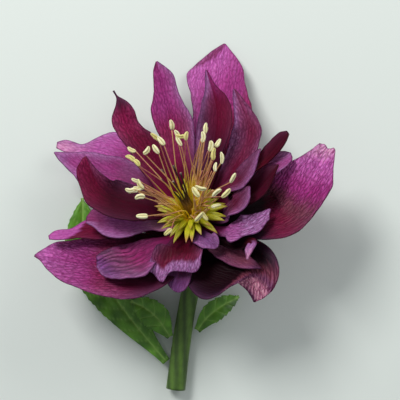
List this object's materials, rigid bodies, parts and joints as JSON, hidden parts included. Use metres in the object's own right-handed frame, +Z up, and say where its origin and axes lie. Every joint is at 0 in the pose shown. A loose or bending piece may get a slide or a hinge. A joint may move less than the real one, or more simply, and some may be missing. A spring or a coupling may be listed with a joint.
{
  "type": "hellebore flower",
  "caption": "Double hellebore bloom in plum-purple with yellow stamens, bracts and a short cut stem, lying on a surface.",
  "frame": {"origin": "middle of the bounding box, on the surface that the flower lies on", "axes": "+Z up from the surface; the cut stem points along -Y and the face of the bloom looks up and along +Y; +X to the right as seen from above with the stem towards the viewer"},
  "size_m": [0.069, 0.083, 0.0355],
  "materials": {
    "petal_plum": "satin",
    "stem_green": "satin",
    "stamen_cream": "matte",
    "nectary_green": "satin",
    "carpel_brown": "satin"
  },
  "bodies": {
    "root": {"sepal_top": "petal_plum", "sepal_right": "petal_plum", "sepal_lower_right": "petal_plum", "sepal_lower_left": "petal_plum", "sepal_upper_left": "petal_plum", "petal_left_low": "petal_plum", "petal_left_back": "petal_plum", "petal_right_back": "petal_plum", "petal_bottom": "petal_plum", "petal_narrow": "petal_plum", "petal_low_right": "petal_plum", "petal_hooked": "petal_plum", "petal_right_dark": "petal_plum", "petal_curled": "petal_plum", "petal_lower_left": "petal_plum", "petal_top_left": "petal_plum", "petal_top_right": "petal_plum", "petal_left_folded": "petal_plum", "petal_bottom_left": "petal_plum", "petal_lower_right": "petal_plum", "petal_top_middle": "petal_plum", "petal_left_inner": "petal_plum", "petal_right_inner": "petal_plum", "petal_right_small": "petal_plum", "petal_bottom_small": "petal_plum", "bract_left": "stem_green", "bract_right": "stem_green", "bract_high": "stem_green", "stem": "stem_green", "stamens": "stamen_cream", "nectaries": "nectary_green", "carpels": "carpel_brown"}
  },
  "joints": []
}
